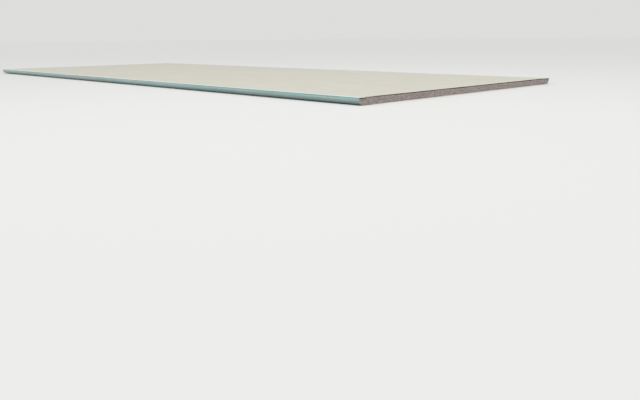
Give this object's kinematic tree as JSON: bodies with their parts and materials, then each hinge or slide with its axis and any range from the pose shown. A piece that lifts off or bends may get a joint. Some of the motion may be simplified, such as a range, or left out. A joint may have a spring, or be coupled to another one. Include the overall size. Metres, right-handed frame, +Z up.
{
  "type": "drywall sheet",
  "caption": "Moisture-resistant plasterboard in the small 600 x 1500 x 12.5 mm format, lying face down: wrapped, tapered half-round long edges, sawn ends.",
  "frame": {"origin": "middle of the underside, on the floor that the sheet lies on", "axes": "+X across the sheet's width, +Y along its length, +Z up, out of the back liner"},
  "size_m": [0.6, 1.5, 0.0125],
  "materials": {
    "gypsum": "matte, sawn, finely pitted",
    "face_paper": "matte, dyed pale green",
    "back_paper": "matte, unbleached cream"
  },
  "bodies": {
    "root": {"gypsum_core": "gypsum", "face_liner": "face_paper", "back_liner": "back_paper"}
  },
  "joints": []
}
